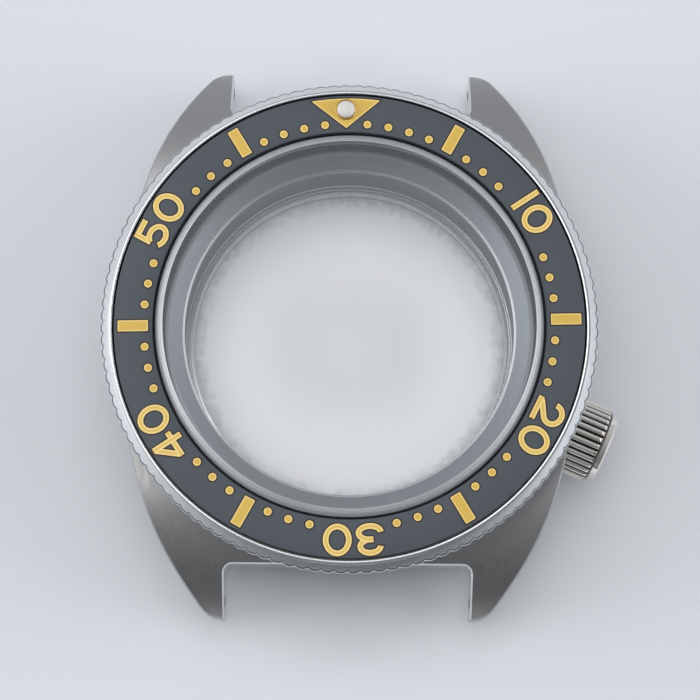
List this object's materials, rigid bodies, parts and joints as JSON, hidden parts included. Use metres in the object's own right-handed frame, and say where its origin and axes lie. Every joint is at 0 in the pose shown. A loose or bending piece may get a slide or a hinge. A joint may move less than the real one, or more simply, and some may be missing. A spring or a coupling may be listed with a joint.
{
  "type": "watch case",
  "caption": "Empty dive watch case with turning bezel, flat crystal, screw-down crown and screwed display back.",
  "frame": {"origin": "on the case axis at the bottom plane of the case back, which the case rests on", "axes": "+Z out through the crystal, +Y to 12 o'clock, +X to 3 o'clock"},
  "size_m": [0.0421, 0.0462, 0.0124],
  "materials": {
    "satin_steel": "satin with polished edges",
    "polished_steel": "polished",
    "bezel_steel": "polished",
    "crown_steel": "polished",
    "spring_steel": "bright",
    "slate_aluminium": "anodised slate grey",
    "gilt": "satin",
    "lume": "gloss",
    "sapphire": "clear",
    "nylon": "matte",
    "adhesive": "matte",
    "rubber": "matte"
  },
  "bodies": {
    "case": {"mid_case": "satin_steel", "crystal": "sapphire", "crystal_gasket": "nylon", "bezel_gasket": "rubber", "crown_tube": "polished_steel", "click_spring": "spring_steel"},
    "bezel": {"bezel_ring": "bezel_steel", "bezel_insert": "slate_aluminium", "insert_adhesive": "adhesive", "pip_cup": "gilt", "lume_pip": "lume"},
    "click": {"click_pin": "polished_steel"},
    "crown_slider": {"crown_gasket": "rubber"},
    "crown": {"crown_head": "crown_steel", "crown_washer": "polished_steel", "crown_spring": "spring_steel"},
    "post": {"crown_post": "polished_steel"},
    "caseback_slider": {"caseback_seal": "rubber"},
    "caseback": {"caseback_ring": "polished_steel", "caseback_glass": "sapphire", "caseback_glass_gasket": "nylon"}
  },
  "joints": [
    {"name": "bezel_turn", "type": "hinge", "parent": "case", "child": "bezel", "pos_m": [0, 0, 0.0095], "axis": [0, 0, 1], "continuous": true},
    {"name": "click_press", "type": "slide", "parent": "case", "child": "click", "axis": [0, 0, -1], "range_m": [0, 0.0003], "stiffness_N_per_m": 600, "deforming": ["click_spring"]},
    {"name": "crown_travel", "type": "slide", "parent": "case", "child": "crown_slider", "axis": [0.9205, -0.3907, 0], "range_m": [0, 0.0014]},
    {"name": "crown_turn", "type": "hinge", "parent": "crown_slider", "child": "crown", "pos_m": [0, 0, 0.0045], "axis": [0.9205, -0.3907, 0], "range_deg": [0, 1440]},
    {"name": "post_press", "type": "slide", "parent": "crown", "child": "post", "axis": [0.9205, -0.3907, 0], "range_m": [0, 0.0007], "stiffness_N_per_m": 400, "deforming": ["crown_spring"]},
    {"name": "caseback_travel", "type": "slide", "parent": "case", "child": "caseback_slider", "axis": [0, 0, -1], "range_m": [0, 0.0015]},
    {"name": "caseback_turn", "type": "hinge", "parent": "caseback_slider", "child": "caseback", "pos_m": [0, 0, 0], "axis": [0, 0, -1], "range_deg": [0, 1080]}
  ],
  "couplings": [
    {"joint": "crown_turn", "follows": "crown_travel", "rad_per_m": 17952},
    {"joint": "caseback_turn", "follows": "caseback_travel", "rad_per_m": 12566}
  ]
}
